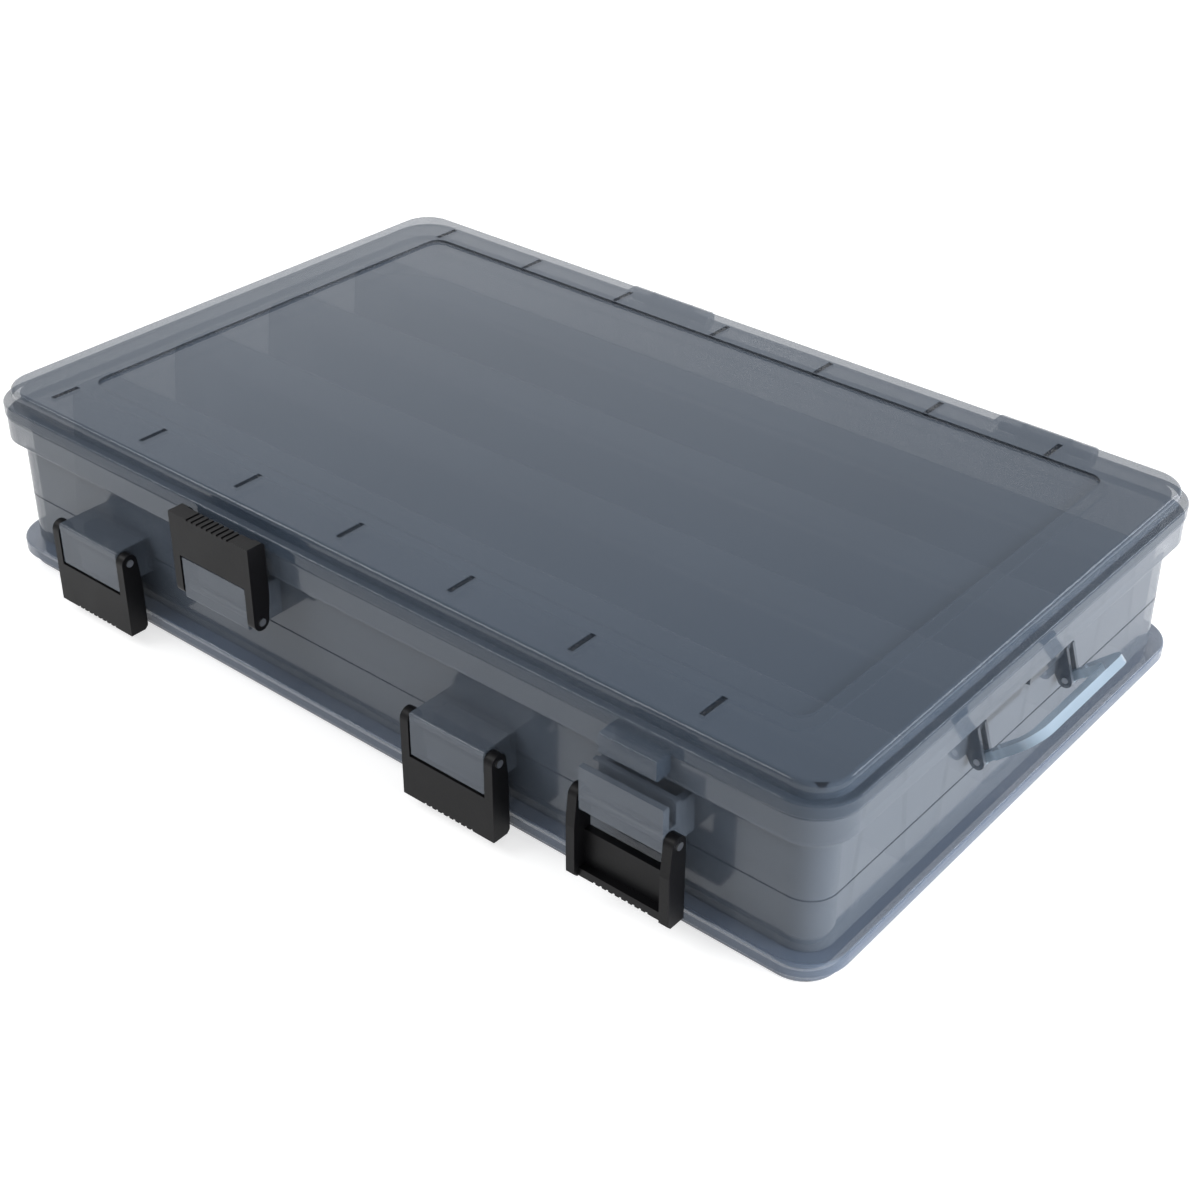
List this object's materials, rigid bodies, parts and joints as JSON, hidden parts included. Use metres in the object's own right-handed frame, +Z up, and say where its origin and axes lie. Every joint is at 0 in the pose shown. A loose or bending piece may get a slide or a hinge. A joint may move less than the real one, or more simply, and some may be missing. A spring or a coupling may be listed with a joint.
{
  "type": "double-sided fishing lure box",
  "caption": "Flat double-sided lure box with an upper and a lower hinged lid, wave-shaped trough divider, front latch levers and a bail handle.",
  "frame": {"origin": "middle of the footprint on the resting face of the lower lid, with the raised handle and the open latch lever counted in the footprint", "axes": "+X along the length towards the handle end, -Y towards the latches, +Z up through the upper lid"},
  "size_m": [0.283, 0.18, 0.0526],
  "materials": {
    "shell": "glossy smoke grey, see-through",
    "divider": "glossy smoke grey, see-through",
    "handle": "glossy pale smoke, see-through",
    "lever": "satin black",
    "pin": "bright drawn"
  },
  "bodies": {
    "case": {"case_body": "shell", "divider_web": "divider", "latch_pin_1": "pin", "latch_pin_2": "pin", "latch_pin_3": "pin", "latch_pin_4": "pin", "top_hinge_pin_1": "pin", "top_hinge_pin_2": "pin", "bottom_hinge_pin_1": "pin", "bottom_hinge_pin_2": "pin", "handle_pin_1": "pin", "handle_pin_2": "pin"},
    "top_lid": {"top_lid": "shell"},
    "bottom_lid": {"bottom_lid": "shell"},
    "latch_1": {"latch_lever_1": "lever"},
    "latch_2": {"latch_lever_2": "lever"},
    "latch_3": {"latch_lever_3": "lever"},
    "latch_4": {"latch_lever_4": "lever"},
    "handle": {"carry_handle": "handle"}
  },
  "joints": [
    {"name": "top_lid_hinge", "type": "hinge", "parent": "case", "child": "top_lid", "pos_m": [0.01846, 0.08705, 0.0453], "axis": [-1, 0, 0], "range_deg": [0, 180]},
    {"name": "bottom_lid_hinge", "type": "hinge", "parent": "case", "child": "bottom_lid", "pos_m": [-0.03154, 0.08705, 0.0073], "axis": [1, 0, 0], "range_deg": [0, 180]},
    {"name": "latch_1_pivot", "type": "hinge", "parent": "case", "child": "latch_1", "pos_m": [-0.09464, -0.08695, 0.0243], "axis": [-1, 0, 0], "range_deg": [0, 180]},
    {"name": "latch_2_pivot", "type": "hinge", "parent": "case", "child": "latch_2", "pos_m": [-0.04464, -0.08695, 0.0283], "axis": [1, 0, 0], "range_deg": [0, 180]},
    {"name": "latch_3_pivot", "type": "hinge", "parent": "case", "child": "latch_3", "pos_m": [0.03156, -0.08695, 0.0243], "axis": [-1, 0, 0], "range_deg": [0, 180]},
    {"name": "latch_4_pivot", "type": "hinge", "parent": "case", "child": "latch_4", "pos_m": [0.08156, -0.08695, 0.0283], "axis": [-1, 0, 0], "range_deg": [0, 180]},
    {"name": "handle_pivot", "type": "hinge", "parent": "case", "child": "handle", "pos_m": [0.12726, 0.00035, 0.0265], "axis": [0, 1, 0], "range_deg": [-20, 130]}
  ]
}
